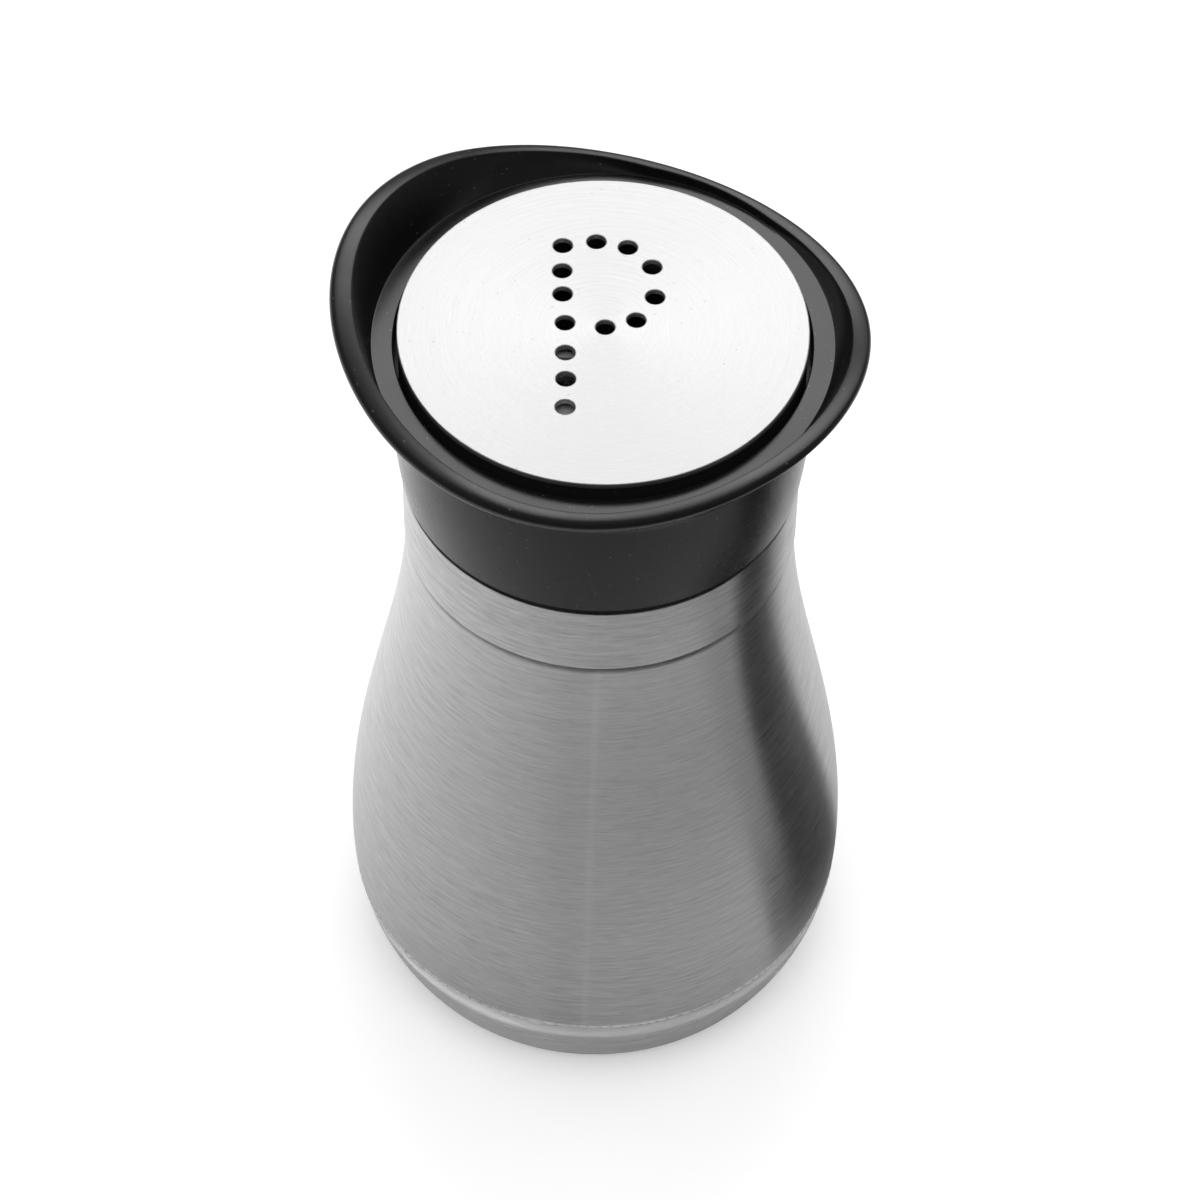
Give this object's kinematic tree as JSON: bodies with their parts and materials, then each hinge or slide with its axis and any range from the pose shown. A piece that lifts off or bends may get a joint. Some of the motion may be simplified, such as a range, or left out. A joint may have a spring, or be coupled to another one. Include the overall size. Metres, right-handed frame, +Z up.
{
  "type": "pepper shaker",
  "caption": "Table pepper shaker: a glass bottle in a waisted brushed steel sleeve, with a screw cap that has a steel band, a black wavy pouring lip and a perforated steel disc.",
  "frame": {"origin": "centre of the bottle's base, on the surface that the shaker stands on", "axes": "+Z up along the axis of the bottle and its thread; +X is the viewer's right in the picture and -Y faces the viewer"},
  "size_m": [0.0602, 0.0602, 0.1101],
  "materials": {
    "clear_glass": "clear and polished",
    "sleeve_steel": "brushed round the axis",
    "band_steel": "brushed round the axis",
    "disc_steel": "fine turning rings",
    "collar_plastic": "satin, with a fine grain on the skirt",
    "cap_plastic": "satin",
    "seal_rubber": "smooth",
    "adhesive": "clear cured bead"
  },
  "bodies": {
    "bottle": {"glass_bottle": "clear_glass", "steel_sleeve": "sleeve_steel", "hem_adhesive": "adhesive"},
    "seal": {"mouth_seal": "seal_rubber"},
    "cap": {"inner_cap": "cap_plastic", "neck_band": "band_steel", "lip_collar": "collar_plastic", "disc_carrier": "cap_plastic", "sieve_disc": "disc_steel"}
  },
  "joints": [
    {"name": "cap_rise", "type": "slide", "parent": "bottle", "child": "seal", "axis": [0, 0, 1], "range_m": [0, 0.01261]},
    {"name": "cap_turn", "type": "hinge", "parent": "seal", "child": "cap", "pos_m": [0, 0, 0.0784], "axis": [0, 0, 1], "range_deg": [0, 1080]}
  ],
  "couplings": [
    {"joint": "cap_rise", "follows": "cap_turn", "m_per_rad": 0.00066845}
  ]
}
